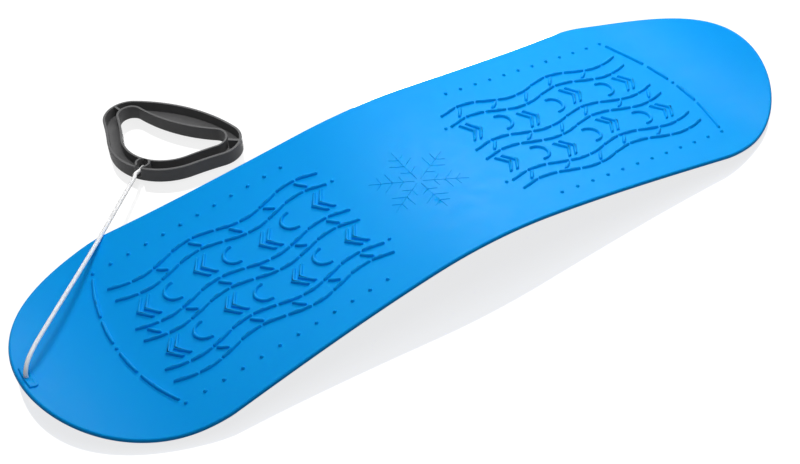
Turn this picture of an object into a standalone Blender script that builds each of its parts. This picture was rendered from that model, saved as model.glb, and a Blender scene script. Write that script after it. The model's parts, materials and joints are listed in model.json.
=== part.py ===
# A moulded plastic snowboard for children, with a pull cord and a hand grip.
# Metres, +Z up. The board lies along X with its nose at -X, and the ground is z = 0.
# Every place is measured from the middle of the board until the last step moves it all.
import bpy
import bmesh
from math import acos, asin, atan2, ceil, cos, floor, hypot, pi, radians, sin, sqrt, tan
from mathutils import Matrix, Vector

# Deck outline, seen from above
DECK_LENGTH = 0.850
WAIST_WIDTH = 0.248
SIDECUT_DEPTH = 0.0139
SHOULDER_RADIUS = 0.075

# Deck section and its bends
DECK_WALL = 0.0040
EDGE_ROUND = 0.0018
EDGE_BREAK = 0.0006
CAMBER_RADIUS = 0.663
PAD_SLOPE = radians(5.9)
TAIL_UPTURN_LENGTH = 0.106
TAIL_UPTURN_RADIUS = 0.159
NOSE_UPTURN_LENGTH = 0.114
NOSE_UPTURN_RADIUS = 0.231
STEEPEST_TIP = radians(60)
WAIST_DISH = 0.0149
END_DISH = 0.0051
DISH_END_MARGIN = 0.067

# Raised relief on the deck
RIB_WIDTH = 0.0042
RIB_HEIGHT = 0.0026
RIB_ROOT = 0.0008
RIB_DRAFT = 0.0011
STUD_DIAMETER = 0.0042
STUD_HEIGHT = 0.0022
STUD_DRAFT = 0.0008
STUD_SIDES = 7
STUD_PITCH = 0.01925
STUD_ROW_INSET = 0.0248
STUDS_INNER_END = 0.101
PAD_END_MARGIN = 0.0905
END_ARC_RADIUS = 0.2396
ARC_GAP = 0.0090
SHORT_DASH_SHARE = 0.37
CENTRE_STUD_X = 0.069
CENTRE_STUD_Y = 0.0525
LANE_INNER_END = 0.077
LANE_PITCH = 0.031
LANE_HALF_WIDTH = 0.009
LANE_MARGIN = 0.019
WAVE_LENGTH = 0.115
WAVE_HEIGHT = 0.006
DASH_LENGTH = 0.0185
DASH_GAP = 0.0052
ARC_CLEARANCE = 0.011
MOTIF_PITCH = 0.033
CHEVRON_DEPTH = 0.0085
CHEVRON_REACH = 0.0125
CHEVRON_SPACING = 0.0078
CRESCENT_RADIUS = 0.0115
RUNG_PITCH = 0.040
RUNG_REACH = 0.0038
RUNG_LEAN = 0.0035

# Tab at the nose, with the hole for the cord
TAB_LENGTH = 0.0130
TAB_WIDTH = 0.0280
TAB_HEIGHT = 0.0015
TAB_DRAFT = 0.0008
TAB_CORNER = 0.0040
TAB_EDGE = 0.0014
HOLE_CLEARANCE = 0.0010

# Cord and its two knots
CORD_DIAMETER = 0.0042
CORD_POINTS = 66
KNOT_RADIUS = 0.0040
KNOT_HEIGHT = 0.0082
DECK_KNOT_RADIUS = 0.0058
KNOT_FURROW = 0.0007
KNOT_TURNS = 5
KNOT_FACE = 0.0004
SEAT_GAP = 0.0003
LIFT_REACH = 0.0020
LIFT_HEIGHT = 0.0295
SLOT_ENTRY = (0.0125, 0.0085)
SLOT_DIP = radians(12)

# Hand grip: u runs from the cord's corner to the grip bar, v across it
HANDLE_PLACE = (-0.2069, 0.2160)
HANDLE_TURN = radians(32.2)
HANDLE_HEIGHT = 0.0160
HANDLE_WIDTH = 0.1653
GRIP_REACH = 0.1019
GRIP_RADIUS = 0.188
CORNER_RADIUS = 0.0283
CORD_SIDE_REACH = 0.0075
CORD_SIDE_RADIUS = 0.0666
FLANK_RADIUS = 0.323
FLANK_WIDTH = 0.0169
GRIP_WIDTH = 0.0296
GRIP_BULGE_RADIUS = 0.178
HOLE_CORNER_RADIUS = 0.0122
HOLE_CORNER_INSET = 0.0146
HANDLE_WALL = 0.0023
WALL_DRAFT = 0.0004
CHANNEL_FLOOR = 0.0045
HANDLE_CHAMFER = 0.0008
CROSS_RIB = 0.0025
CROSS_RIB_ANGLES = (radians(68), radians(-92))
POCKET_RADIUS = 0.0059
POCKET_BOSS = 0.0022
POCKET_REACH = 0.0028
POCKET_SIDE = -0.0021
KNOT_CLEARANCE = 0.0004
KNOT_SEAT_ANGLE = radians(148)
SLOT_CLEARANCE = 0.0014
SLOT_STEP = 0.0005

# How finely curves are stepped, and how far a cutter runs past what it cuts
TIP_STEPS = 14
SHOULDER_STEPS = 2
SIDE_STEPS = 8
ROUND_STEPS = 2
CROSS_SPACING = 0.031
UPTURN_STEPS = 6
PAD_STEPS = 4
CAMBER_STEPS = 2
SLOPE_STEP = 0.0005
ARC_STEP = 0.012
CRESCENT_STEPS = 5
TAB_STEPS = 6
TAB_CORNER_STEPS = 3
HOLE_SIDES = 16
GRIP_STEPS = 4
CORNER_STEPS = 12
FLANK_STEPS = 3
CORD_SIDE_STEPS = 9
BULGE_STEPS = 5
POCKET_SIDES = 24
KNOT_SEGMENTS = 18
KNOT_RINGS = 13
CURVE_SAMPLES = 12
SHARP_ANGLE = radians(35)
KNOT_SHARP_ANGLE = radians(50)
CUT_PAST = 0.010


def clear_scene():
    for thing in list(bpy.data.objects):
        bpy.data.objects.remove(thing, do_unlink=True)


def plain_material(name, colour, roughness):
    material = bpy.data.materials.new(name)
    material.use_nodes = True
    shader = material.node_tree.nodes["Principled BSDF"]
    shader.inputs["Base Color"].default_value = (*colour, 1.0)
    shader.inputs["Roughness"].default_value = roughness
    shader.inputs["Metallic"].default_value = 0.0
    return material


def loft(bm, rings):
    """Join rings of equally many points, lowest first, into one closed solid."""
    loops = [[bm.verts.new(point) for point in ring] for ring in rings]
    for low, high in zip(loops, loops[1:]):
        for i in range(len(low)):
            j = (i + 1) % len(low)
            bm.faces.new((low[i], low[j], high[j], high[i]))
    bm.faces.new(reversed(loops[0]))
    bm.faces.new(loops[-1])


def mesh_object(name, bm, material=None):
    mesh = bpy.data.meshes.new(name)
    bmesh.ops.recalc_face_normals(bm, faces=bm.faces)
    bm.to_mesh(mesh)
    bm.free()
    thing = bpy.data.objects.new(name, mesh)
    bpy.context.collection.objects.link(thing)
    if material:
        mesh.materials.append(material)
    return thing


def cutter_object(name, bm):
    thing = mesh_object(name, bm)
    thing.hide_render = True
    thing.display_type = "WIRE"
    return thing


def combine(target, tool, operation):
    step = target.modifiers.new(tool.name, "BOOLEAN")
    step.object = tool
    step.operation = operation
    step.solver = "EXACT"


def remove_tools(thing):
    for step in list(thing.modifiers):
        remove_tools(step.object)
        bpy.data.objects.remove(step.object, do_unlink=True)


def carve(thing):
    """Carry out a piece's cuts and joins on its mesh, and put the tools away."""
    bpy.context.view_layer.update()
    carved = thing.evaluated_get(bpy.context.evaluated_depsgraph_get())
    mesh = bpy.data.meshes.new_from_object(carved)
    remove_tools(thing)
    thing.modifiers.clear()
    thing.data = mesh


def smooth_shading(mesh, angle):
    mesh.shade_smooth()
    mesh.set_sharp_from_angle(angle=angle)


# Deck


def arc_points(centre, radius, start, end, steps, last=False):
    count = steps + 1 if last else steps
    angles = [start + (end - start) * i / steps for i in range(count)]
    return [(centre[0] + radius * cos(a), centre[1] + radius * sin(a)) for a in angles]


def tip_radius():
    """Each end is a full round, as wide as the sidecut leaves it."""
    return WAIST_WIDTH / 2 + SIDECUT_DEPTH


def deck_outline(inset=0.0):
    """One closed line of tangent arcs: tip, shoulder and sidecut in each quarter."""
    tip_x = DECK_LENGTH / 2 - tip_radius()
    step_in = tip_radius() - SHOULDER_RADIUS
    side_radius = (tip_x**2 + SIDECUT_DEPTH**2) / (2 * SIDECUT_DEPTH)
    side_y = WAIST_WIDTH / 2 + side_radius
    reach = (side_radius + SHOULDER_RADIUS) ** 2 - tip_x**2 - step_in**2 - side_y**2
    turn = acos(reach / (2 * step_in * hypot(tip_x, side_y))) - atan2(side_y, tip_x)
    shoulder = (tip_x + step_in * cos(turn), step_in * sin(turn))
    end = atan2(side_y - shoulder[1], -shoulder[0])
    side_start = end - pi
    quarter = arc_points((tip_x, 0.0), tip_radius() - inset, 0.0, turn, TIP_STEPS)
    quarter += arc_points(shoulder, SHOULDER_RADIUS - inset, turn, end, SHOULDER_STEPS)
    quarter += arc_points(
        (0.0, side_y), side_radius + inset, side_start, -pi / 2, SIDE_STEPS, last=True
    )
    half = quarter + [(-x, y) for x, y in reversed(quarter[:-1])]
    return half + [(x, -y) for x, y in reversed(half[1:-1])]


def lengthwise_height(x):
    """Height of the top surface along the middle line, from its highest point at x = 0."""
    along = abs(x)
    if x < 0:
        upturn, radius = NOSE_UPTURN_LENGTH, NOSE_UPTURN_RADIUS
    else:
        upturn, radius = TAIL_UPTURN_LENGTH, TAIL_UPTURN_RADIUS
    camber_end = CAMBER_RADIUS * sin(PAD_SLOPE)
    start = DECK_LENGTH / 2 - upturn
    on_camber = min(along, camber_end)
    on_pad = min(max(along, camber_end), start) - camber_end
    height = sqrt(CAMBER_RADIUS**2 - on_camber**2) - CAMBER_RADIUS - on_pad * tan(PAD_SLOPE)
    if along > start:
        past = along - start - radius * sin(PAD_SLOPE)
        on_arc = min(past, radius * sin(STEEPEST_TIP))
        height += radius * cos(PAD_SLOPE) - sqrt(radius**2 - on_arc**2)
        height += (past - on_arc) * tan(STEEPEST_TIP)
    return height


def deck_height(x, y):
    dish_end = DECK_LENGTH / 2 - DISH_END_MARGIN
    fade = (1 + cos(pi * min(abs(x) / dish_end, 1.0))) / 2
    dish = END_DISH + (WAIST_DISH - END_DISH) * fade
    return lengthwise_height(x) + dish * (y / (WAIST_WIDTH / 2)) ** 2


def deck_normal(x, y):
    step = SLOPE_STEP
    along = (deck_height(x + step, y) - deck_height(x - step, y)) / (2 * step)
    across = (deck_height(x, y + step) - deck_height(x, y - step)) / (2 * step)
    return Vector((-along, -across, 1.0)).normalized()


def bent(point):
    """A point of the flat deck, moved to its place on the dished and cambered one."""
    x, y, above = point
    return Vector((x, y, deck_height(x, y))) + deck_normal(x, y) * above


def bend_lines():
    """Where the flat deck is divided, so that it can follow its bends."""
    camber_end = CAMBER_RADIUS * sin(PAD_SLOPE)
    lines = [0.0]
    for side, upturn in ((-1, NOSE_UPTURN_LENGTH), (1, TAIL_UPTURN_LENGTH)):
        start = DECK_LENGTH / 2 - upturn
        lines += [side * camber_end * (i + 1) / CAMBER_STEPS for i in range(CAMBER_STEPS)]
        lines += [
            side * (camber_end + (start - camber_end) * (i + 1) / PAD_STEPS)
            for i in range(PAD_STEPS)
        ]
        lines += [side * (start + upturn * (i + 1) / UPTURN_STEPS) for i in range(UPTURN_STEPS - 1)]
    return lines


def flat_deck():
    bm = bmesh.new()
    levels = [(-DECK_WALL, EDGE_BREAK), (-DECK_WALL + EDGE_BREAK, 0.0)]
    for i in range(ROUND_STEPS + 1):
        turn = pi / 2 * i / ROUND_STEPS
        levels.append((-EDGE_ROUND * (1 - sin(turn)), EDGE_ROUND * (1 - cos(turn))))
    loft(bm, [[(x, y, z) for x, y in deck_outline(inset)] for z, inset in levels])
    rows = floor((WAIST_WIDTH / 2) / CROSS_SPACING)
    cuts = [((x, 0, 0), (1, 0, 0)) for x in bend_lines()]
    cuts += [((0, j * CROSS_SPACING, 0), (0, 1, 0)) for j in range(-rows, rows + 1)]
    for place, facing in cuts:
        everything = bm.verts[:] + bm.edges[:] + bm.faces[:]
        bmesh.ops.bisect_plane(bm, geom=everything, dist=1e-6, plane_co=place, plane_no=facing)
    return bm


def bead(bm, line, width=RIB_WIDTH, height=RIB_HEIGHT, draft=RIB_DRAFT):
    """A raised rib along a line on the flat deck, with sloping sides and pointed ends."""
    points = [Vector(p) for p in line]
    ways = [(b - a).normalized() for a, b in zip(points, points[1:])]
    ways = [ways[0]] + ways + [ways[-1]]
    rings = []
    for z, half in ((-RIB_ROOT, width / 2), (0.0, width / 2), (height, width / 2 - draft)):
        left, right = [], []
        for point, before, after in zip(points, ways, ways[1:]):
            way = (before + after).normalized()
            side = Vector((-way.y, way.x)) * half / max(way.dot(after), 0.5)
            left.append(point + side)
            right.append(point - side)
        ring = [points[0] - ways[0] * half] + right + [points[-1] + ways[-1] * half]
        rings.append([(p.x, p.y, z) for p in ring + left[::-1]])
    loft(bm, rings)


def stud(bm, x, y):
    rings = []
    for z, radius in (
        (-RIB_ROOT, STUD_DIAMETER / 2),
        (0.0, STUD_DIAMETER / 2),
        (STUD_HEIGHT, STUD_DIAMETER / 2 - STUD_DRAFT),
    ):
        ring = arc_points((x, y), radius, 0.0, 2 * pi, STUD_SIDES)
        rings.append([(px, py, z) for px, py in ring])
    loft(bm, rings)


def end_arc_x(y):
    """The arc that closes a pad at its outer end."""
    crown = DECK_LENGTH / 2 - PAD_END_MARGIN
    return crown - END_ARC_RADIUS + sqrt(END_ARC_RADIUS**2 - y**2)


def stud_row():
    return WAIST_WIDTH / 2 - STUD_ROW_INSET


def pad_studs(bm, end):
    row = stud_row()
    last = end_arc_x(row)
    count = floor((last - STUDS_INNER_END) / STUD_PITCH) + 1
    for side in (-1, 1):
        for i in range(count):
            stud(bm, end * (last - i * STUD_PITCH), side * row)
        stud(bm, end * CENTRE_STUD_X, side * CENTRE_STUD_Y)
    stud(bm, end * end_arc_x(0.0), 0.0)


def pad_end_arc(bm, end):
    """A short and a long dash on each side, between the middle stud and the last of the row."""
    crown = end_arc_x(0.0)
    run = END_ARC_RADIUS * asin(stud_row() / END_ARC_RADIUS) - ARC_GAP
    short_end = ARC_GAP + (run - 2 * ARC_GAP) * SHORT_DASH_SHARE
    for side in (-1, 1):
        for start, finish in ((ARC_GAP, short_end), (short_end + ARC_GAP, run)):
            steps = ceil((finish - start) / ARC_STEP)
            places = [start + (finish - start) * i / steps for i in range(steps + 1)]
            angles = [place / END_ARC_RADIUS for place in places]
            line = [
                (
                    end * (crown - END_ARC_RADIUS * (1 - cos(a))),
                    side * END_ARC_RADIUS * sin(a),
                )
                for a in angles
            ]
            bead(bm, line)


def wave_y(along, middle):
    return middle + WAVE_HEIGHT * sin(2 * pi * along / WAVE_LENGTH)


def lane_room(y):
    """How far a lane runs from its inner end before it meets the end arc."""
    return end_arc_x(abs(y) + WAVE_HEIGHT) - ARC_CLEARANCE - LANE_INNER_END


def pad_waves(bm, end, middle):
    """Two broken wavy ribs, one on each side of a lane's middle line, and slanted bars between."""
    for side in (-1, 1):
        y = middle + side * LANE_HALF_WIDTH
        count = int((lane_room(y) + DASH_GAP) / (DASH_LENGTH + DASH_GAP))
        for i in range(count):
            start = i * (DASH_LENGTH + DASH_GAP)
            stops = [start + DASH_LENGTH * k / 2 for k in range(3)]
            bead(bm, [(end * (LANE_INNER_END + s), wave_y(s, y)) for s in stops])
    for i in range(int(lane_room(middle) / RUNG_PITCH)):
        along = (i + 0.5) * RUNG_PITCH
        line = []
        for side in (-1, 1):
            stop = along + side * RUNG_LEAN
            line.append((end * (LANE_INNER_END + stop), wave_y(stop, middle) + side * RUNG_REACH))
        bead(bm, line)


def pad_motifs(bm, end, middle):
    """Double chevrons and crescents in turn, between two lanes of waves."""
    count = int(lane_room(abs(middle) + CHEVRON_REACH) / MOTIF_PITCH)
    for i in range(count):
        along = (i + 0.5) * MOTIF_PITCH
        x = LANE_INNER_END + along
        y = wave_y(along, middle)
        if i % 2 == 0:
            for tip in (x, x + CHEVRON_SPACING):
                back = end * (tip - CHEVRON_DEPTH)
                bead(bm, [(back, y + CHEVRON_REACH), (end * tip, y), (back, y - CHEVRON_REACH)])
        else:
            curve = arc_points((x, y), CRESCENT_RADIUS, -pi / 2, pi / 2, CRESCENT_STEPS, last=True)
            bead(bm, [(end * px, py) for px, py in curve])


def nose_tab(bm):
    """Raised pad at the tip of the nose: its outer side follows the tip, its inner corners are round."""
    tip_x = DECK_LENGTH / 2 - tip_radius()
    inner_x = DECK_LENGTH / 2 - TAB_LENGTH
    rings = []
    for z, inset in ((-RIB_ROOT, 0.0), (TAB_HEIGHT - TAB_DRAFT, 0.0), (TAB_HEIGHT, TAB_DRAFT)):
        half = TAB_WIDTH / 2 - inset
        radius = tip_radius() - EDGE_ROUND - TAB_EDGE - inset
        spread = asin(half / radius)
        outer = arc_points((tip_x, 0.0), radius, -spread, spread, TAB_STEPS, last=True)
        corner = TAB_CORNER - inset
        near = (inner_x + TAB_CORNER, TAB_WIDTH / 2 - TAB_CORNER)
        far = (inner_x + TAB_CORNER, -near[1])
        inner = arc_points(near, corner, pi / 2, pi, TAB_CORNER_STEPS, last=True)
        inner += arc_points(far, corner, pi, 3 * pi / 2, TAB_CORNER_STEPS, last=True)
        rings.append([(-x, y, z) for x, y in outer + inner])
    loft(bm, rings)


def relief():
    bm = bmesh.new()
    lanes = int((stud_row() - LANE_MARGIN) / LANE_PITCH)
    for end in (-1, 1):
        pad_studs(bm, end)
        pad_end_arc(bm, end)
        for j in range(-lanes, lanes + 1):
            make = pad_waves if j % 2 == 0 else pad_motifs
            make(bm, end, j * LANE_PITCH)
    nose_tab(bm)
    return bm


def deck_hole():
    """The cord's hole is in the middle of the tab."""
    return Vector((TAB_LENGTH / 2 - DECK_LENGTH / 2, 0.0, 0.0))


def make_deck(material):
    """The deck is shaped flat, joined to its relief, bent, set on the ground and then drilled."""
    deck = mesh_object("deck", flat_deck(), material)
    combine(deck, cutter_object("deck_relief", relief()), "UNION")
    carve(deck)
    bm = bmesh.new()
    bm.from_mesh(deck.data)
    bmesh.ops.remove_doubles(bm, verts=bm.verts, dist=1e-6)
    bmesh.ops.triangulate(bm, faces=bm.faces)
    for vert in bm.verts:
        vert.co = bent(vert.co)
    lowest = min(vert.co.z for vert in bm.verts)
    bmesh.ops.translate(bm, verts=bm.verts, vec=(0, 0, -lowest))
    highest = max(vert.co.z for vert in bm.verts)
    bm.to_mesh(deck.data)
    bm.free()
    drill = bmesh.new()
    hole_radius = CORD_DIAMETER / 2 + HOLE_CLEARANCE
    circle = arc_points(deck_hole(), hole_radius, 0.0, 2 * pi, HOLE_SIDES)
    loft(drill, [[(x, y, z) for x, y in circle] for z in (-CUT_PAST, highest + CUT_PAST)])
    combine(deck, cutter_object("cord_hole", drill), "DIFFERENCE")
    carve(deck)
    smooth_shading(deck.data, SHARP_ANGLE)
    return deck, -lowest


# Hand grip


def flank_centre(corner, corner_reach, end_x, end_reach):
    """Middle of the arc that draws a flank in, at its reach from the corner's and the cord side's."""
    along, across = end_x - corner[0], -corner[1]
    apart = hypot(along, across)
    share = (corner_reach**2 - end_reach**2 + apart**2) / (2 * apart**2)
    off = sqrt(corner_reach**2 / apart**2 - share**2)
    return corner[0] + along * share + across * off, corner[1] + across * share - along * off


def round_to_cord_side(corner, corner_radius, start, flank_radius, end_radius, inset):
    """The corner's arc, the flank's and half of the cord side's, each touching the next."""
    end_x = CORD_SIDE_RADIUS - CORD_SIDE_REACH
    flank = flank_centre(corner, flank_radius + corner_radius, end_x, flank_radius + end_radius)
    leave = atan2(flank[1] - corner[1], flank[0] - corner[0])
    land = atan2(flank[1], flank[0] - end_x)
    line = arc_points(corner, corner_radius - inset, start, leave, CORNER_STEPS)
    line += arc_points(flank, flank_radius + inset, leave - pi, land - pi, FLANK_STEPS)
    line += arc_points((end_x, 0.0), end_radius - inset, land, pi, CORD_SIDE_STEPS, last=True)
    return line


def mirrored_outline(half):
    return half + [(u, -v) for u, v in reversed(half[1:-1])]


def grip_corner():
    """Middle of the arc between the grip bar's long arc and a flank."""
    across = HANDLE_WIDTH / 2 - CORNER_RADIUS
    along = GRIP_REACH - GRIP_RADIUS + sqrt((GRIP_RADIUS - CORNER_RADIUS) ** 2 - across**2)
    return along, across


def handle_outline(inset=0.0):
    grip_x = GRIP_REACH - GRIP_RADIUS
    corner = grip_corner()
    leave = atan2(corner[1], corner[0] - grip_x)
    half = arc_points((grip_x, 0.0), GRIP_RADIUS - inset, 0.0, leave, GRIP_STEPS)
    half += round_to_cord_side(
        corner, CORNER_RADIUS, leave, FLANK_RADIUS, CORD_SIDE_RADIUS, inset
    )
    return mirrored_outline(half)


def hand_hole_outline(inset=0.0):
    """The opening for the hand; its side towards the grip bar swells into the opening."""
    bulge_x = GRIP_REACH - GRIP_WIDTH + GRIP_BULGE_RADIUS
    across = HANDLE_WIDTH / 2 - HOLE_CORNER_INSET - HOLE_CORNER_RADIUS
    along = bulge_x - sqrt((GRIP_BULGE_RADIUS + HOLE_CORNER_RADIUS) ** 2 - across**2)
    meet = atan2(across, bulge_x - along)
    half = arc_points((bulge_x, 0.0), GRIP_BULGE_RADIUS + inset, pi, pi - meet, BULGE_STEPS)
    half += round_to_cord_side(
        (along, across),
        HOLE_CORNER_RADIUS,
        -meet,
        FLANK_RADIUS + FLANK_WIDTH,
        CORD_SIDE_RADIUS - FLANK_WIDTH,
        inset,
    )
    return mirrored_outline(half)


def outline_solid(name, outline, levels):
    bm = bmesh.new()
    loft(bm, [[(u, v, z) for u, v in outline(inset)] for z, inset in levels])
    return cutter_object(name, bm)


def cross_rib_block(name, angle):
    """A bar across the channel, radial to the corner of the grip that it stands in."""
    along, across = grip_corner()
    bm = bmesh.new()
    bmesh.ops.create_cube(bm, size=1.0)
    bmesh.ops.scale(bm, verts=bm.verts, vec=(CORNER_RADIUS, CROSS_RIB, 2 * HANDLE_HEIGHT))
    bmesh.ops.translate(bm, verts=bm.verts, vec=(CORNER_RADIUS, 0, HANDLE_HEIGHT))
    bmesh.ops.rotate(bm, verts=bm.verts, matrix=Matrix.Rotation(angle, 3, "Z"))
    corner = (along, across if angle > 0 else -across, 0)
    bmesh.ops.translate(bm, verts=bm.verts, vec=corner)
    return cutter_object(name, bm)


def pocket_cylinder(name, radius, low, high):
    bm = bmesh.new()
    circle = arc_points((POCKET_REACH, POCKET_SIDE), radius, 0.0, 2 * pi, POCKET_SIDES)
    loft(bm, [[(u, v, z) for u, v in circle] for z in (low, high)])
    return cutter_object(name, bm)


def cord_slot(floor_z):
    """A slot along -u, from the pocket out through the wall, open at the top."""
    width = CORD_DIAMETER + 2 * SLOT_CLEARANCE
    outer = POCKET_REACH + CORD_SIDE_REACH + CUT_PAST
    bm = bmesh.new()
    bmesh.ops.create_cube(bm, size=1.0)
    bmesh.ops.scale(bm, verts=bm.verts, vec=(outer, width, HANDLE_HEIGHT))
    place = (POCKET_REACH - outer / 2, POCKET_SIDE, floor_z + HANDLE_HEIGHT / 2)
    bmesh.ops.translate(bm, verts=bm.verts, vec=place)
    return cutter_object("handle_slot", bm)


def rim_levels(inset):
    """Heights of a wall with a small chamfer at both rims; the inset is its amount there."""
    top = HANDLE_HEIGHT
    return [(0.0, inset), (HANDLE_CHAMFER, 0.0), (top - HANDLE_CHAMFER, 0.0), (top, inset)]


def hand_hole_levels():
    """The hand hole widens at both rims, and its cutter runs past them."""
    widened = -HANDLE_CHAMFER
    past = [(-CUT_PAST, widened), (HANDLE_HEIGHT + CUT_PAST, widened)]
    return past[:1] + rim_levels(widened) + past[1:]


def knot_seat():
    """The knot's middle in the pocket, drawn by the cord to the side where the slot opens."""
    off = POCKET_RADIUS - KNOT_RADIUS - KNOT_CLEARANCE
    u = POCKET_REACH + off * cos(KNOT_SEAT_ANGLE)
    v = POCKET_SIDE + off * sin(KNOT_SEAT_ANGLE)
    return Vector((u, v, KNOT_HEIGHT))


def make_handle(material):
    bm = bmesh.new()
    levels = rim_levels(HANDLE_CHAMFER)
    loft(bm, [[(u, v, z) for u, v in handle_outline(inset)] for z, inset in levels])
    handle = mesh_object("handle", bm, material)
    hand_hole = outline_solid("hand_hole", hand_hole_outline, hand_hole_levels())
    combine(handle, hand_hole, "DIFFERENCE")

    top = HANDLE_HEIGHT + CUT_PAST
    draft = WALL_DRAFT * (top - CHANNEL_FLOOR) / (HANDLE_HEIGHT - CHANNEL_FLOOR)
    outside = [(CHANNEL_FLOOR, HANDLE_WALL + WALL_DRAFT), (top, HANDLE_WALL + WALL_DRAFT - draft)]
    inside = [(-CUT_PAST, -HANDLE_WALL - WALL_DRAFT), (CHANNEL_FLOOR, -HANDLE_WALL - WALL_DRAFT)]
    inside += [(top + CUT_PAST, -HANDLE_WALL - WALL_DRAFT + draft)]
    channel = outline_solid("handle_channel", handle_outline, outside)
    combine(channel, outline_solid("channel_island", hand_hole_outline, inside), "DIFFERENCE")
    for i, angle in enumerate(CROSS_RIB_ANGLES):
        combine(channel, cross_rib_block(f"cross_rib_{i}", angle), "DIFFERENCE")
    boss = pocket_cylinder("pocket_boss", POCKET_RADIUS + POCKET_BOSS, 0.0, top + CUT_PAST)
    combine(channel, boss, "DIFFERENCE")
    combine(handle, channel, "DIFFERENCE")

    pocket_floor = KNOT_HEIGHT - KNOT_RADIUS - SEAT_GAP
    combine(handle, pocket_cylinder("cord_pocket", POCKET_RADIUS, pocket_floor, top), "DIFFERENCE")
    combine(handle, cord_slot(pocket_floor + SLOT_STEP), "DIFFERENCE")
    carve(handle)
    smooth_shading(handle.data, SHARP_ANGLE)
    return handle


# Cord and knots


def make_knot(name, radius, way, material):
    """A tight stopper knot: a ball furrowed by the cord's turns, flat where the cord runs in."""
    bm = bmesh.new()
    bmesh.ops.create_uvsphere(
        bm, u_segments=KNOT_SEGMENTS, v_segments=KNOT_RINGS, radius=radius
    )
    for vert in bm.verts:
        polar = acos(max(-1.0, min(1.0, vert.co.z / radius)))
        around = atan2(vert.co.y, vert.co.x)
        wave = cos(2 * KNOT_TURNS * polar - around)
        fade = sin(polar) ** 2
        vert.co *= 1 - KNOT_FURROW / radius * fade * (1 - wave) / 2
    turn = Vector((0, 0, 1)).rotation_difference(way).to_matrix()
    bmesh.ops.rotate(bm, verts=bm.verts, matrix=turn)
    everything = bm.verts[:] + bm.edges[:] + bm.faces[:]
    cut = bmesh.ops.bisect_plane(
        bm,
        geom=everything,
        dist=1e-6,
        plane_co=way * (radius - KNOT_FACE),
        plane_no=way,
        clear_outer=True,
    )
    edges = [g for g in cut["geom_cut"] if isinstance(g, bmesh.types.BMEdge)]
    bmesh.ops.holes_fill(bm, edges=edges, sides=0)
    knot = mesh_object(name, bm, material)
    smooth_shading(knot.data, KNOT_SHARP_ANGLE)
    return knot


def cord_route(start, entry, end):
    """The cord's own points: up out of the hole, over the far rim and down to the hand grip."""
    middle = [
        (-0.4185, 0.0000, 0.0190),
        (-0.4184, 0.0001, 0.0226),
        (-0.4175, 0.0010, 0.0259),
        (-0.4154, 0.0031, 0.0292),
        (-0.4118, 0.0069, 0.0318),
        (-0.4071, 0.0117, 0.0332),
        (-0.4010, 0.0179, 0.0336),
        (-0.3926, 0.0264, 0.0330),
        (-0.3793, 0.0400, 0.0312),
        (-0.3626, 0.0572, 0.0286),
        (-0.3451, 0.0751, 0.0259),
        (-0.3276, 0.0929, 0.0233),
        (-0.3101, 0.1108, 0.0208),
        (-0.2961, 0.1251, 0.0190),
        (-0.2870, 0.1344, 0.0181),
        (-0.2800, 0.1415, 0.0174),
        (-0.2709, 0.1508, 0.0166),
        (-0.2577, 0.1644, 0.0153),
        (-0.2437, 0.1787, 0.0138),
        (-0.2311, 0.1916, 0.0125),
        (-0.2206, 0.2022, 0.0115),
    ]
    return [start] + [Vector(p) for p in middle] + entry + [end]


def smooth_curve(points, count):
    """Points at even distances along a smooth curve through the given ones."""
    dense = []
    padded = [2 * points[0] - points[1]] + points + [2 * points[-1] - points[-2]]
    for a, b, c, d in zip(padded, padded[1:], padded[2:], padded[3:]):
        ab, bc, cd = (sqrt((q - p).length) for p, q in ((a, b), (b, c), (c, d)))
        leave = ((b - a) / ab - (c - a) / (ab + bc) + (c - b) / bc) * bc
        reach = ((c - b) / bc - (d - b) / (bc + cd) + (d - c) / cd) * bc
        for i in range(CURVE_SAMPLES):
            t = i / CURVE_SAMPLES
            p = (2 * t**3 - 3 * t**2 + 1) * b + (t**3 - 2 * t**2 + t) * leave
            dense.append(p + (3 * t**2 - 2 * t**3) * c + (t**3 - t**2) * reach)
    dense.append(points[-1])
    travelled = [0.0]
    for p, q in zip(dense, dense[1:]):
        travelled.append(travelled[-1] + (q - p).length)
    even, k = [], 0
    for i in range(count):
        wanted = travelled[-1] * i / (count - 1)
        while k < len(dense) - 2 and travelled[k + 1] < wanted:
            k += 1
        share = (wanted - travelled[k]) / (travelled[k + 1] - travelled[k])
        even.append(dense[k].lerp(dense[k + 1], min(share, 1.0)))
    return even, travelled[-1]


def make_cord(route, material):
    points, length = smooth_curve(route, CORD_POINTS)
    curve = bpy.data.curves.new("pull_cord", "CURVE")
    curve.dimensions = "3D"
    curve.bevel_depth = CORD_DIAMETER / 2
    curve.bevel_resolution = 2
    curve.use_fill_caps = True
    spline = curve.splines.new("POLY")
    spline.points.add(len(points) - 1)
    for target, point in zip(spline.points, points):
        target.co = (*point, 1.0)
    spline.use_smooth = True
    cord = bpy.data.objects.new("pull_cord", curve)
    bpy.context.collection.objects.link(cord)
    curve.materials.append(material)
    print(f"cord length {length:.4f} m")
    return cord


# Assembly


def place_of(thing):
    place = Vector((0, 0, 0))
    while thing:
        place += thing.location
        thing = thing.parent
    return place


def hang(child, pivot, parent):
    """Put a piece's origin on its joint, where it hangs on its parent."""
    child.parent = parent
    child.location = pivot - place_of(parent)


def span(thing, axis):
    """Lowest and highest place of a finished piece along one axis."""
    bpy.context.view_layer.update()
    places = [(thing.matrix_world @ vert.co)[axis] for vert in thing.data.vertices]
    return min(places), max(places)


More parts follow.
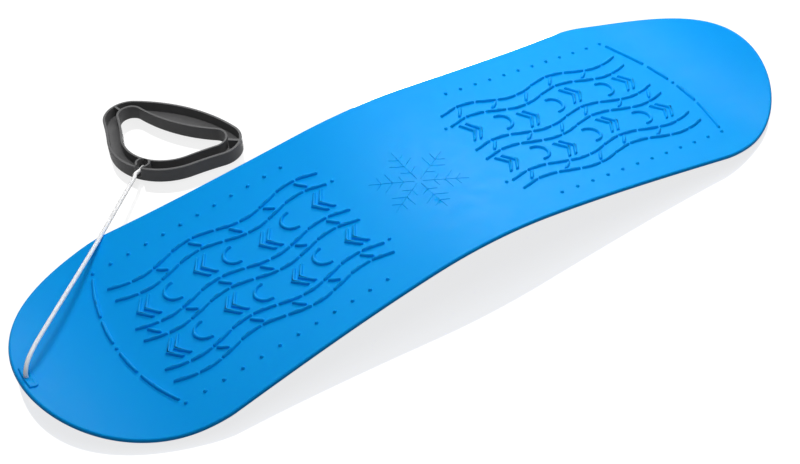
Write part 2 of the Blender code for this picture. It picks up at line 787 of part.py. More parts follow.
def main():
    clear_scene()
    blue = plain_material("deck_plastic", (0.006, 0.275, 0.78), 0.42)
    black = plain_material("handle_plastic", (0.035, 0.035, 0.037), 0.5)
    white = plain_material("cord_fibre", (0.85, 0.85, 0.83), 0.8)
    board = bpy.data.objects.new("snowboard", None)
    bpy.context.collection.objects.link(board)

    deck, rise = make_deck(blue)
    deck.parent = board

    hole = deck_hole()
    underside = bent((hole.x, hole.y, -DECK_WALL)).z + rise
    drop = (DECK_KNOT_RADIUS + SEAT_GAP) / deck_normal(hole.x, hole.y).z
    deck_knot_place = Vector((hole.x, hole.y, underside - drop))
    deck_knot = make_knot("deck_knot", DECK_KNOT_RADIUS, Vector((0, 0, 1)), white)
    hang(deck_knot, deck_knot_place, board)
    cord_start = deck_knot_place + Vector((0, 0, DECK_KNOT_RADIUS - KNOT_FACE + SEAT_GAP))

    grip_way = Vector((cos(HANDLE_TURN), sin(HANDLE_TURN), 0))
    grip_side = Vector((-grip_way.y, grip_way.x, 0))
    seat = knot_seat()
    knot_place = Vector((*HANDLE_PLACE, 0.0)) + grip_way * seat.x + grip_side * seat.y
    knot_place.z = seat.z
    cord_in = Vector((0, 0, sin(SLOT_DIP))) - grip_way * cos(SLOT_DIP)
    cord_end = knot_place + cord_in * (KNOT_RADIUS - KNOT_FACE + SEAT_GAP)
    entry = [knot_place + cord_in * reach for reach in SLOT_ENTRY]
    route = cord_route(cord_start, entry, cord_end)
    cord_way = Vector((knot_place.x - hole.x, knot_place.y - hole.y, 0)).normalized()
    lift_place = Vector((hole.x, hole.y, LIFT_HEIGHT)) + cord_way * LIFT_REACH
    cord = make_cord([point - lift_place for point in route], white)
    hang(cord, lift_place, deck_knot)

    handle_knot = make_knot("handle_knot", KNOT_RADIUS, cord_in, white)
    hang(handle_knot, knot_place, cord)
    handle = make_handle(black)
    handle.data.transform(Matrix.Translation(-seat))
    handle.rotation_euler.z = HANDLE_TURN
    hang(handle, knot_place, handle_knot)

    ends = [span(piece, axis) for axis in (0, 1) for piece in (deck, handle)]
    middle = [(min(a[0], b[0]) + max(a[1], b[1])) / 2 for a, b in (ends[:2], ends[2:])]
    board.location = (-middle[0], -middle[1], 0)
    bpy.context.view_layer.update()
    lift_axis = Vector((cord_way.y, -cord_way.x, 0))
    for name, place, axis in (
        ("cord_swing", hole, Vector((0, 0, 1))),
        ("cord_lift", lift_place, lift_axis),
        ("handle_lift", knot_place, -grip_side),
    ):
        print(name, [round(c, 6) for c in place + board.location], [round(c, 6) for c in axis])


main()
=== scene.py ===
# A moulded plastic snowboard for children, with a pull cord at the nose and a hand grip.
import json
from math import acos, asin, atan2, copysign, cos, floor, hypot, pi, radians, sin, sqrt, tan

import bmesh
import bpy
from mathutils import Matrix, Vector


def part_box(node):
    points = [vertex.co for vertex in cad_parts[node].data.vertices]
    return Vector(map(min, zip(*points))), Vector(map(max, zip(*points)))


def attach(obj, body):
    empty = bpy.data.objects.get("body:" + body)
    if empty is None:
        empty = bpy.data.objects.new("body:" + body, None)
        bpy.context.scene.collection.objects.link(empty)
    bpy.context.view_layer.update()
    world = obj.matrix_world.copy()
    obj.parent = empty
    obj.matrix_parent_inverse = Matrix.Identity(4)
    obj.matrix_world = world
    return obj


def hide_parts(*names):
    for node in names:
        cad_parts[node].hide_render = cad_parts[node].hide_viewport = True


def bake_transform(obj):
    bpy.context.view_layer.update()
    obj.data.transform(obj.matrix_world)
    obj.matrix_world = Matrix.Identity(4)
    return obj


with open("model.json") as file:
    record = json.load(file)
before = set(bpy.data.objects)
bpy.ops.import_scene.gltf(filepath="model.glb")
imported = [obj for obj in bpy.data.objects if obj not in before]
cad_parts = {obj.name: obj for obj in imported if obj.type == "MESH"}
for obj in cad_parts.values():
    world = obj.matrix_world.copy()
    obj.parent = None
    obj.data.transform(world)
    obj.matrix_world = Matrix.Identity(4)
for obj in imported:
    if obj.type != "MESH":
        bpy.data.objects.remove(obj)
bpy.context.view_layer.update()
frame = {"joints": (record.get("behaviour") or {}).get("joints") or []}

jointAt = {joint["name"]: Vector(joint["pos_m"]) for joint in frame["joints"]}
holeAt = jointAt["cord_swing"]  # the cord's hole at the nose
knotAt = jointAt["handle_lift"]  # the knot in the hand grip
holeToMiddle = 0.4185
deckMiddle = Vector((holeAt.x + holeToMiddle, holeAt.y, 0))


# Camera, at the photograph's viewing angle
camera = {
    "azimuth": radians(-30.8101),
    "elevation": radians(42.7282),
    "roll": radians(-3.8884),
    "focalPixels": 1362.84,
    "imageWidth": 800,
    "sensor": 36.0,
    "target": Vector((-0.052278, -0.044527, 0.0271)),  # from the middle of the board
    "distance": 1.30675,
}


def makeCamera():
    az, el, roll = camera["azimuth"], camera["elevation"], camera["roll"]
    back = Vector((sin(az) * cos(el), -cos(az) * cos(el), sin(el)))
    right = Vector((cos(az), sin(az), 0))
    up = back.cross(right)
    tiltedRight = cos(roll) * right + sin(roll) * up
    tiltedUp = cos(roll) * up - sin(roll) * right
    data = bpy.data.cameras.new("camera")
    data.sensor_width = camera["sensor"]
    data.sensor_fit = "HORIZONTAL"
    data.lens = camera["focalPixels"] / camera["imageWidth"] * camera["sensor"]
    eye = bpy.data.objects.new("camera", data)
    bpy.context.scene.collection.objects.link(eye)
    turn = Matrix((tiltedRight, tiltedUp, back)).transposed().to_4x4()
    place = deckMiddle + camera["target"] + back * camera["distance"]
    eye.matrix_world = Matrix.Translation(place) @ turn
    bpy.context.scene.camera = eye


# Small helpers for meshes
def everything(bm):
    return bm.verts[:] + bm.edges[:] + bm.faces[:]


def asMesh(bm, name):
    mesh = bpy.data.meshes.new(name)
    bmesh.ops.recalc_face_normals(bm, faces=bm.faces)
    bm.to_mesh(mesh)
    bm.free()
    return mesh


def asObject(mesh):
    thing = bpy.data.objects.new(mesh.name, mesh)
    bpy.context.scene.collection.objects.link(thing)
    return thing


def newPiece(name, bm, material, sharpAngle):
    mesh = asMesh(bm, name)
    mesh.materials.append(material)
    mesh.shade_smooth()
    mesh.set_sharp_from_angle(angle=sharpAngle)
    return asObject(mesh)


def evenShading(piece):
    weigh = piece.modifiers.new("evenShading", "WEIGHTED_NORMAL")
    weigh.mode = "FACE_AREA"
    weigh.keep_sharp = True


def discard(thing):
    mesh = thing.data
    bpy.data.objects.remove(thing)
    bpy.data.meshes.remove(mesh)


def applied(thing):
    # the mesh with its modifiers carried out, as a new bmesh
    bpy.context.view_layer.update()
    shown = thing.evaluated_get(bpy.context.evaluated_depsgraph_get())
    mesh = bpy.data.meshes.new_from_object(shown)
    bm = bmesh.new()
    bm.from_mesh(mesh)
    bpy.data.meshes.remove(mesh)
    bmesh.ops.remove_doubles(bm, verts=bm.verts, dist=1e-7)
    return bm


def combined(bm, tools, operation, crossing=False):
    # crossing is for tools whose own shells cross each other
    base = asObject(asMesh(bm, "base"))
    things = [asObject(asMesh(tool, "tool")) for tool in tools]
    for thing in things:
        step = base.modifiers.new("combine", "BOOLEAN")
        step.object = thing
        step.operation = operation
        step.solver = "EXACT"
        step.use_self = crossing
    made = applied(base)
    for thing in [base] + things:
        discard(thing)
    return made


def startAt(bm, x, y):
    made = bmesh.ops.create_vert(bm, co=(x, y, 0))
    return made["vert"][0]


def lineTo(bm, vert, x, y):
    made = bmesh.ops.extrude_vert_indiv(bm, verts=[vert])
    made["verts"][0].co = (x, y, 0)
    return made["verts"][0]


def arcTo(bm, vert, centre, angle, steps):
    made = bmesh.ops.spin(
        bm, geom=[vert], cent=(*centre, 0), axis=(0, 0, 1), angle=angle, steps=steps, use_duplicate=False
    )
    return made["geom_last"][0]


def mirrored(bm, axis):
    bmesh.ops.mirror(bm, geom=everything(bm), axis=axis, merge_dist=1e-6)


def filled(bm):
    # one face inside a closed outline
    made = bmesh.ops.contextual_create(bm, geom=bm.edges[:])
    face = made["faces"][0]
    if face.normal.z < 0:
        face.normal_flip()
    return face


def built(bm, face, profile):
    # a closed solid on a flat face: each step goes in from the outline and up
    inset, height = profile[0]
    bmesh.ops.translate(bm, verts=face.verts, vec=(0, 0, height))
    made = bmesh.ops.extrude_face_region(bm, geom=[face], use_keep_orig=True)
    top = [g for g in made["geom"] if isinstance(g, bmesh.types.BMFace)][0]
    top.normal_update()
    if top.normal.z < 0:
        top.normal_flip()
    bmesh.ops.translate(bm, verts=top.verts, vec=(0, 0, profile[1][1] - height))
    inset, height = profile[1]
    for nextInset, nextHeight in profile[2:]:
        bmesh.ops.inset_region(
            bm,
            faces=[top],
            thickness=nextInset - inset,
            depth=nextHeight - height,
            use_even_offset=True,
            use_boundary=True,
        )
        inset, height = nextInset, nextHeight
    return bm


def sliced(bm, axis, places):
    facing = Vector((0, 0, 0))
    facing[axis] = 1
    for place in places:
        bmesh.ops.bisect_plane(
            bm, geom=everything(bm), dist=1e-7, plane_co=facing * place, plane_no=facing
        )


def bevelled(bm, edges, width, steps, clamp):
    bmesh.ops.bevel(
        bm,
        geom=edges,
        offset=width,
        affect="EDGES",
        segments=steps,
        profile=0.5,
        material=-1,
        clamp_overlap=clamp,
    )


def joined(bm, mesh, move):
    # a copy of a small mesh, each vertex put in place by move
    first = len(bm.verts)
    bm.from_mesh(mesh)
    bm.verts.ensure_lookup_table()
    for vert in bm.verts[first:]:
        vert.co = move(vert.co)


# Materials
def newMaterial(name):
    material = bpy.data.materials.new(name)
    material.use_nodes = True
    return material, material.node_tree.nodes, material.node_tree.links


def noise(nodes, links, source, scale, detail, roughness=0.5):
    # the pattern's own roughness, not the surface's
    texture = nodes.new("ShaderNodeTexNoise")
    texture.inputs["Scale"].default_value = scale
    texture.inputs["Detail"].default_value = detail
    texture.inputs["Roughness"].default_value = roughness
    links.new(source, texture.inputs["Vector"])
    return texture.outputs["Fac"]


def spread(nodes, links, value, low, high):
    # a noise value, mostly between 0.3 and 0.7, spread between two others
    step = nodes.new("ShaderNodeMapRange")
    step.inputs["From Min"].default_value = 0.3
    step.inputs["From Max"].default_value = 0.7
    step.inputs["To Min"].default_value = low
    step.inputs["To Max"].default_value = high
    links.new(value, step.inputs["Value"])
    return step.outputs["Result"]


def mixColours(nodes, links, factor, low, high):
    mix = nodes.new("ShaderNodeMix")
    mix.data_type = "RGBA"
    links.new(factor, mix.inputs["Factor"])
    mix.inputs["A"].default_value = (*low, 1)
    mix.inputs["B"].default_value = (*high, 1)
    return mix.outputs["Result"]


def bump(nodes, links, height, distance, strength, under=None):
    step = nodes.new("ShaderNodeBump")
    step.inputs["Distance"].default_value = distance
    step.inputs["Strength"].default_value = strength
    links.new(height, step.inputs["Height"])
    if under:
        links.new(under, step.inputs["Normal"])
    return step.outputs["Normal"]


deckFinish = {
    "colour": (0.0, 0.290, 0.755),
    "paler": (0.0, 0.310, 0.785),
    "cloud": (9.0, 2),  # a noise's scale and detail, here and below
    "gloss": (0.42, 0.50),
    "glossCloud": (60.0, 4),
    "grain": (1400.0, 3),
    "grainBump": (0.00004, 0.5),  # depth and strength
    "ripple": (26.0, 1),
    "rippleBump": (0.0003, 0.5),
    "specular": 0.08,
    "glow": 0.25,
    "glowReach": (0.08, 0.45, 1.0),
    "glowDepth": 0.0022,
}


def deckPlastic():
    material, nodes, links = newMaterial("deckPlastic")
    shader = nodes["Principled BSDF"]
    place = nodes.new("ShaderNodeTexCoord").outputs["Object"]
    cloud = noise(nodes, links, place, *deckFinish["cloud"])
    colour = mixColours(nodes, links, cloud, deckFinish["colour"], deckFinish["paler"])
    links.new(colour, shader.inputs["Base Color"])
    gloss = noise(nodes, links, place, *deckFinish["glossCloud"])
    links.new(spread(nodes, links, gloss, *deckFinish["gloss"]), shader.inputs["Roughness"])
    ripple = noise(nodes, links, place, *deckFinish["ripple"])
    soft = bump(nodes, links, ripple, *deckFinish["rippleBump"])
    grain = noise(nodes, links, place, *deckFinish["grain"])
    links.new(bump(nodes, links, grain, *deckFinish["grainBump"], soft), shader.inputs["Normal"])
    shader.inputs["Specular IOR Level"].default_value = deckFinish["specular"]
    shader.inputs["Subsurface Weight"].default_value = deckFinish["glow"]
    shader.inputs["Subsurface Radius"].default_value = deckFinish["glowReach"]
    shader.inputs["Subsurface Scale"].default_value = deckFinish["glowDepth"]
    return material


handleFinish = {
    "colour": (0.118, 0.118, 0.119),
    "paler": (0.138, 0.138, 0.140),
    "cloud": (90.0, 3),
    "gloss": (0.42, 0.56),
    "glossCloud": (400.0, 3),
    "grain": (2600.0, 3),
    "grainBump": (0.00008, 0.6),
    "specular": 0.12,
}


def handlePlastic():
    material, nodes, links = newMaterial("handlePlastic")
    shader = nodes["Principled BSDF"]
    place = nodes.new("ShaderNodeTexCoord").outputs["Object"]
    cloud = noise(nodes, links, place, *handleFinish["cloud"])
    colour = mixColours(nodes, links, cloud, handleFinish["colour"], handleFinish["paler"])
    links.new(colour, shader.inputs["Base Color"])
    gloss = noise(nodes, links, place, *handleFinish["glossCloud"])
    links.new(spread(nodes, links, gloss, *handleFinish["gloss"]), shader.inputs["Roughness"])
    grain = noise(nodes, links, place, *handleFinish["grain"])
    links.new(bump(nodes, links, grain, *handleFinish["grainBump"]), shader.inputs["Normal"])
    shader.inputs["Specular IOR Level"].default_value = handleFinish["specular"]
    return material


cordFinish = {
    # the first colour is painted shade that greys the braid's creases; the second is the cord's own white
    "paintedCreaseShade": (0.93, 0.93, 0.92),
    "crest": (0.985, 0.985, 0.98),
    "yarn": (3200.0, 4, 0.6),  # the noise's scale, detail and roughness
    "yarnBump": (0.00006, 0.7),
    "roughness": 0.75,
    "sheen": 0.25,
    "glow": 1.0,
    "glowDepth": 0.0040,
}


def cordFibre():
    material, nodes, links = newMaterial("cordFibre")
    shader = nodes["Principled BSDF"]
    # painted shade: the crest attribute greys the white towards the braid's creases and the knot's middle
    crest = nodes.new("ShaderNodeAttribute")
    crest.attribute_name = "crest"
    colour = mixColours(nodes, links, crest.outputs["Fac"], cordFinish["paintedCreaseShade"], cordFinish["crest"])
    links.new(colour, shader.inputs["Base Color"])
    place = nodes.new("ShaderNodeTexCoord").outputs["Object"]
    yarn = noise(nodes, links, place, *cordFinish["yarn"])
    links.new(bump(nodes, links, yarn, *cordFinish["yarnBump"]), shader.inputs["Normal"])
    shader.inputs["Roughness"].default_value = cordFinish["roughness"]
    shader.inputs["Sheen Weight"].default_value = cordFinish["sheen"]
    shader.inputs["Subsurface Weight"].default_value = cordFinish["glow"]
    shader.inputs["Subsurface Radius"].default_value = (1, 1, 1)
    shader.inputs["Subsurface Scale"].default_value = cordFinish["glowDepth"]
    return material


# Cord: a braided tube along the CAD route
cord = {
    "diameter": 0.0042,
    "sides": 40,
    "ringStep": 0.0004,
    "strands": 8,
    "turnLength": 0.0165,
    "strandDepth": 0.00032,
    "overlap": 0.30,
    "curveSamples": 24,
    "bendLow": 0.0175,
    "bendLean": radians(50),
    "bendLength": 0.027,
    "slotEntry": (0.0125, 0.0085),
    "slotDip": radians(12),
    "knotFace": 0.0004,
    "seatGap": 0.0003,
    "sharpAngle": radians(80),
    "middle": [  # from the middle of the board
        (-0.4185, 0.0000, 0.0190),
        (-0.4184, 0.0001, 0.0226),
        (-0.4175, 0.0010, 0.0259),
        (-0.4154, 0.0031, 0.0292),
        (-0.4118, 0.0069, 0.0318),
        (-0.4071, 0.0117, 0.0332),
        (-0.4010, 0.0179, 0.0336),
        (-0.3926, 0.0264, 0.0330),
        (-0.3793, 0.0400, 0.0312),
        (-0.3626, 0.0572, 0.0286),
        (-0.3451, 0.0751, 0.0259),
        (-0.3276, 0.0929, 0.0233),
        (-0.3101, 0.1108, 0.0208),
        (-0.2961, 0.1251, 0.0190),
        (-0.2870, 0.1344, 0.0181),
        (-0.2800, 0.1415, 0.0174),
        (-0.2709, 0.1508, 0.0166),
        (-0.2577, 0.1644, 0.0153),
        (-0.2437, 0.1787, 0.0138),
        (-0.2311, 0.1916, 0.0125),
        (-0.2206, 0.2022, 0.0115),
    ],
}
knots = {
    "gripRadius": 0.0040,
    "deckRadius": 0.0058,
    "strandShare": 0.36,
    "rise": 1.7,
    "samples": 160,
    "voxel": 0.00016,
    "smoothings": 2,
    "paintedShadeFadeStart": 0.45,  # painted shade greys the knot inside this share of the radius and fades out over the next
    "paintedShadeFadeSpan": 0.40,
}


def slotWay():
    # from the grip's knot out along its slot, up which the cord climbs
    gripWay = Vector((cos(grip["turn"]), sin(grip["turn"]), 0))
    return Vector((0, 0, sin(cord["slotDip"]))) - gripWay * cos(cord["slotDip"])


def evenCurve(points, step):
    # ring centres at even distances along a smooth curve through the points
    dense = []
    padded = [2 * points[0] - points[1]] + points + [2 * points[-1] - points[-2]]
    for a, b, c, d in zip(padded, padded[1:], padded[2:], padded[3:]):
        ab, bc, cd = (sqrt((q - p).length) for p, q in ((a, b), (b, c), (c, d)))
        leave = ((b - a) / ab - (c - a) / (ab + bc) + (c - b) / bc) * bc
        reach = ((c - b) / bc - (d - b) / (bc + cd) + (d - c) / cd) * bc
        for i in range(cord["curveSamples"]):
            t = i / cord["curveSamples"]
            p = (2 * t**3 - 3 * t**2 + 1) * b + (t**3 - 2 * t**2 + t) * leave
            dense.append(p + (3 * t**2 - 2 * t**3) * c + (t**3 - t**2) * reach)
    dense.append(points[-1])
    travelled = [0.0]
    for p, q in zip(dense, dense[1:]):
        travelled.append(travelled[-1] + (q - p).length)
    count = round(travelled[-1] / step)
    even, k = [], 0
    for i in range(count + 1):
        wanted = travelled[-1] * i / count
        while k < len(dense) - 2 and travelled[k + 1] < wanted:
            k += 1
        share = (wanted - travelled[k]) / (travelled[k + 1] - travelled[k])
        even.append(dense[k].lerp(dense[k + 1], min(share, 1.0)))
    return even, travelled[-1]


def strandHeight(around, along):
    # how high the braid stands at a place, 0 in its creases and 1 on its crests
    u = cord["strands"] * (around / (2 * pi) + along / cord["turnLength"])
    v = cord["strands"] * (around / (2 * pi) - along / cord["turnLength"])
    crownU = sin(pi * (u - floor(u))) ** 0.5
    crownV = sin(pi * (v - floor(v))) ** 0.5
    overU = sin(pi * v) * (-1) ** floor(u)
    overV = -sin(pi * u) * (-1) ** floor(v)
    share = cord["overlap"]
    return max(crownU * (1 - share + share * overU), crownV * (1 - share + share * overV), 0.0)


def braidedTube(points, radius, depth):
    # a straight braided tube, bent along the points without twist
    rings = len(points)
    bm = bmesh.new()
    crest = bm.verts.layers.float.new("crest")
    bmesh.ops.create_cone(
        bm, cap_ends=True, segments=cord["sides"], radius1=radius, radius2=radius, depth=rings - 1
    )
    bmesh.ops.translate(bm, verts=bm.verts, vec=(0, 0, (rings - 1) / 2))
    long = [edge for edge in bm.edges if abs(edge.verts[0].co.z - edge.verts[1].co.z) > 0.5]
    bmesh.ops.subdivide_edges(bm, edges=long, cuts=rings - 2, use_grid_fill=True)
    ways = [(points[min(i + 1, rings - 1)] - points[max(i - 1, 0)]).normalized() for i in range(rings)]
    sides = [ways[0].orthogonal().normalized()]
    for way in ways[1:]:
        sides.append((sides[-1] - way * way.dot(sides[-1])).normalized())
    step = (points[1] - points[0]).length
    for vert in bm.verts:
        i = round(vert.co.z)
        around = atan2(vert.co.y, vert.co.x)
        height = strandHeight(around, i * step)
        # the crest value also sets how much painted shade the material puts here, most in the creases
        vert[crest] = height
        reach = radius - depth * (1 - height)
        across = ways[i].cross(sides[i])
        vert.co = points[i] + (sides[i] * cos(around) + across * sin(around)) * reach
    return bm


def makeCord(material):
    start = Vector((*holeAt.xy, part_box("deck_knot")[1].z + cord["seatGap"]))
    end = knotAt + slotWay() * (knots["gripRadius"] - cord["knotFace"] + cord["seatGap"])
    entry = [knotAt + slotWay() * reach for reach in cord["slotEntry"]]
    route = [start] + [deckMiddle + Vector(p) for p in cord["middle"]] + entry + [end]
    points, length = evenCurve(route, cord["ringStep"])
    tube = braidedTube(points, cord["diameter"] / 2, cord["strandDepth"])
    piece = newPiece("pullCord", tube, material, cord["sharpAngle"])
    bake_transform(piece)
    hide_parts("pull_cord")
    return piece, points, length


def tightKnot(name, middle, radius, way, material):
    # a tight overhand knot: a thick braided loop that crosses itself three times, fused
    strand = radius * knots["strandShare"]
    loop = (radius - strand) / 3
    points = []
    for i in range(knots["samples"] + 1):
        t = 2 * pi * i / knots["samples"]
        points.append(
            Vector((
                loop * (sin(t) + 2 * sin(2 * t)),
                loop * (cos(t) - 2 * cos(2 * t)),
                -loop * knots["rise"] * sin(3 * t),
            ))
        )
    bm = braidedTube(points, strand, cord["strandDepth"])
    draft = asObject(asMesh(bm, name + "Draft"))
    fuse = draft.modifiers.new("fuse", "REMESH")
    fuse.mode = "VOXEL"
    fuse.voxel_size = knots["voxel"]
    made = applied(draft)
    discard(draft)
    for step in range(knots["smoothings"]):
        bmesh.ops.smooth_vert(
            made, verts=made.verts, factor=0.5, use_axis_x=True, use_axis_y=True, use_axis_z=True
        )
    # painted shade: the crest value greys the knot towards its middle, where its strands lie deeper
    crest = made.verts.layers.float.new("crest")
    turn = Vector((1, 0, 0)).rotation_difference(way).to_matrix()
    for vert in made.verts:
        height = (vert.co.length / radius - knots["paintedShadeFadeStart"]) / knots["paintedShadeFadeSpan"]
        vert[crest] = max(0.0, min(1.0, height))
        vert.co = middle + turn @ vert.co
    return newPiece(name, made, material, cord["sharpAngle"])


# Deck: shaped flat, joined to its relief, then bent along its camber, upturns and dish
deck = {
    "length": 0.850,
    "waist": 0.248,
    "sidecut": 0.0139,
    "shoulder": 0.075,
    "wall": 0.0040,
    "edgeRound": 0.0018,
    "edgeRoundSteps": 5,
    "edgeBreak": 0.0007,
    "edgeBreakSteps": 2,
    "camberRadius": 0.663,
    "padSlope": radians(5.9),
    "tailUpturn": 0.106,
    "tailRadius": 0.159,
    "noseUpturn": 0.114,
    "noseRadius": 0.231,
    "steepest": radians(60),
    "waistDish": 0.0149,
    "endDish": 0.0051,
    "dishMargin": 0.067,
    "tipSteps": 72,
    "shoulderSteps": 12,
    "sideSteps": 80,
    "slice": 0.0062,
    "sharpAngle": radians(50),
}
relief = {
    "ribWidth": 0.0042,
    "ribProfile": [
        (0.0, -0.0008),
        (0.0, -0.00010),
        (0.00022, 0.00012),
        (0.00042, 0.00060),
        (0.00070, 0.00150),
        (0.00105, 0.00220),
        (0.00160, 0.00252),
        (0.00215, 0.00260),
    ],
    "flare": 0.0002,
    "studWidth": 0.0042,
    "studProfile": [
        (0.0, -0.0008),
        (0.0, -0.00010),
        (0.00022, 0.00012),
        (0.00042, 0.00055),
        (0.00065, 0.00125),
        (0.00100, 0.00180),
        (0.00150, 0.00213),
        (0.00210, 0.00220),
    ],
    "endSides": 10,
    "bendEvery": 0.0045,
    "crescentBendEvery": 0.0028125,
    "studPitch": 0.01925,
    "studRowInset": 0.0248,
    "studsInnerEnd": 0.101,
    "laneInnerEnd": 0.077,
    "padEndMargin": 0.0905,
    "endArcRadius": 0.2396,
    "arcGap": 0.0090,
    "shortDashShare": 0.37,
    "centreStud": (0.069, 0.0525),
    "lanePitch": 0.031,
    "laneHalfWidth": 0.009,
    "laneMargin": 0.019,
    "waveLength": 0.115,
    "waveHeight": 0.006,
    "dashLength": 0.0185,
    "dashGap": 0.0052,
    "arcClearance": 0.011,
    "motifPitch": 0.033,
    "chevronDepth": 0.0085,
    "chevronReach": 0.0125,
    "chevronSpacing": 0.0078,
    "crescentRadius": 0.0115,
    "rungPitch": 0.040,
    "rungReach": 0.0038,
    "rungLean": 0.0035,
}
tab = {
    "length": 0.0130,
    "width": 0.0280,
    "corner": 0.0040,
    "edge": 0.0014,
    "profile": [
        (0.0, -0.0008),
        (0.0, -0.0001),
        (0.0002, 0.0002),
        (0.0004, 0.0012),
        (0.0007, 0.0016),
        (0.0013, 0.0018),
    ],
    "holeClearance": 0.0010,
    "holeRound": 0.0005,
    "holeRoundShare": 0.3,  # of the round's width, at half its depth
    "holeSides": 48,
    "endSteps": 10,
    "cornerSteps": 8,
}
crystal = {
    "arm": 0.050,
    "ribWidth": 0.0009,
    "profile": [(0.0, -0.0006), (0.0, -0.0001), (0.00022, 0.00012), (0.0004, 0.00035), (0.0007, 0.00042)],
    "branches": [(0.015, 0.010), (0.026, 0.015), (0.037, 0.010)],
    "branchAngle": radians(60),
    "start": 0.004,
    "arms": 6,
    "firstAngle": 30,  # in degrees, as the next
    "armAngle": 60,
}


def tipRadius():
    return deck["waist"] / 2 + deck["sidecut"]


def flatDeck():
    tip = tipRadius()
    tipX = deck["length"] / 2 - tip
    stepIn = tip - deck["shoulder"]
    sideRadius = (tipX**2 + deck["sidecut"] ** 2) / (2 * deck["sidecut"])
    sideY = deck["waist"] / 2 + sideRadius
    reach = (sideRadius + deck["shoulder"]) ** 2 - tipX**2 - stepIn**2 - sideY**2
    turn = acos(reach / (2 * stepIn * hypot(tipX, sideY))) - atan2(sideY, tipX)
    shoulder = (tipX + stepIn * cos(turn), stepIn * sin(turn))
    end = atan2(sideY - shoulder[1], -shoulder[0])
    bm = bmesh.new()
    vert = startAt(bm, deck["length"] / 2, 0)
    vert = arcTo(bm, vert, (tipX, 0), turn, deck["tipSteps"])
    vert = arcTo(bm, vert, shoulder, end - turn, deck["shoulderSteps"])
    arcTo(bm, vert, (0, sideY), pi / 2 - end, deck["sideSteps"])
    mirrored(bm, "X")
    mirrored(bm, "Y")
    bmesh.ops.remove_doubles(bm, verts=bm.verts, dist=1e-6)
    built(bm, filled(bm), [(0, -deck["wall"]), (0, 0)])
    for height, edge in ((0, "edgeRound"), (-deck["wall"], "edgeBreak")):
        rim = [e for e in bm.edges if all(abs(vert.co.z - height) < 1e-6 for vert in e.verts)]
        bevelled(bm, rim, deck[edge], deck[edge + "Steps"], False)
    for axis, reach in ((0, deck["length"] / 2), (1, tip)):
        count = floor(reach / deck["slice"])
        sliced(bm, axis, [i * deck["slice"] for i in range(-count, count + 1)])
    return bm


def lengthwiseHeight(x):
    along = abs(x)
    upturn, radius = deck["tailUpturn"], deck["tailRadius"]
    if x < 0:
        upturn, radius = deck["noseUpturn"], deck["noseRadius"]
    slope = deck["padSlope"]
    camberEnd = deck["camberRadius"] * sin(slope)
    start = deck["length"] / 2 - upturn
    onCamber = min(along, camberEnd)
    onPad = min(max(along, camberEnd), start) - camberEnd
    height = sqrt(deck["camberRadius"] ** 2 - onCamber**2) - deck["camberRadius"] - onPad * tan(slope)
    if along > start:
        past = along - start - radius * sin(slope)
        onArc = min(past, radius * sin(deck["steepest"]))
        height += radius * cos(slope) - sqrt(radius**2 - onArc**2)
        height += (past - onArc) * tan(deck["steepest"])
    return height


def deckHeight(x, y):
    dishEnd = deck["length"] / 2 - deck["dishMargin"]
    fade = (1 + cos(pi * min(abs(x) / dishEnd, 1))) / 2
    dish = deck["endDish"] + (deck["waistDish"] - deck["endDish"]) * fade
    return lengthwiseHeight(x) + dish * (y / (deck["waist"] / 2)) ** 2


def deckNormal(x, y):
    step = 0.0005
    along = (deckHeight(x + step, y) - deckHeight(x - step, y)) / (2 * step)
    across = (deckHeight(x, y + step) - deckHeight(x, y - step)) / (2 * step)
    return Vector((-along, -across, 1)).normalized()


def ribBlank(name, length, width, profile, bendEvery=None):
    # a straight rib with round ends and a flared foot, its middle at the origin
    bm = bmesh.new()
    radius = width / 2 + relief["flare"]
    made = bmesh.ops.create_circle(bm, cap_ends=False, segments=relief["endSides"], radius=radius)
    straight = max(length - width, 0)
    for side in (-1, 1):
        half = [vert for vert in made["verts"] if vert.co.x * side > 0]
        bmesh.ops.translate(bm, verts=half, vec=(side * straight / 2, 0, 0))
    built(bm, filled(bm), profile)
    if bendEvery:
        count = max(floor(straight / bendEvery), 1)
        sliced(bm, 0, [straight * ((i + 0.5) / count - 0.5) for i in range(count)])
    return asMesh(bm, name)


def endArcX(y):
    crown = deck["length"] / 2 - relief["padEndMargin"]
    return crown - relief["endArcRadius"] + sqrt(relief["endArcRadius"] ** 2 - y**2)


def studRow():
    return deck["waist"] / 2 - relief["studRowInset"]


def waveY(along, middle):
    return middle + relief["waveHeight"] * sin(2 * pi * along / relief["waveLength"])


def laneRoom(y):
    return endArcX(abs(y) + relief["waveHeight"]) - relief["arcClearance"] - relief["laneInnerEnd"]


def addWaves(bm, blank, end, middle):
    for side in (-1, 1):
        y = middle + side * relief["laneHalfWidth"]
        pitch = relief["dashLength"] + relief["dashGap"]
        for i in range(int((laneRoom(y) + relief["dashGap"]) / pitch)):
            centre = i * pitch + relief["dashLength"] / 2

            def onWave(co, centre=centre, y=y):
                s = centre + co.x
                turn = 2 * pi / relief["waveLength"]
                lean = relief["waveHeight"] * turn * cos(turn * s)
                size = hypot(1, lean)
                x = relief["laneInnerEnd"] + s - co.y * lean / size
                return Vector((end * x, waveY(s, y) + co.y / size, co.z))

            joined(bm, blank, onWave)


def rungLength():
    return 2 * hypot(relief["rungLean"], relief["rungReach"])


def addRungs(bm, blank, end, middle):
    # slanted bars between the two waves of a lane, each as long as its place asks
    lean = relief["rungLean"]
    for i in range(int(laneRoom(middle) / relief["rungPitch"])):
        along = (i + 0.5) * relief["rungPitch"]
        low = Vector((along - lean, waveY(along - lean, middle) - relief["rungReach"], 0))
        high = Vector((along + lean, waveY(along + lean, middle) + relief["rungReach"], 0))
        centre = (low + high) / 2 + Vector((relief["laneInnerEnd"], 0, 0))
        turn = Matrix.Rotation(atan2(high.y - low.y, high.x - low.x), 3, "Z")
        longer = ((high - low).length - rungLength()) / 2

        def onRung(co, centre=centre, turn=turn, longer=longer):
            place = centre + turn @ Vector((co.x + longer * copysign(1, co.x), co.y, 0))
            return Vector((end * place.x, place.y, co.z))

        joined(bm, blank, onRung)


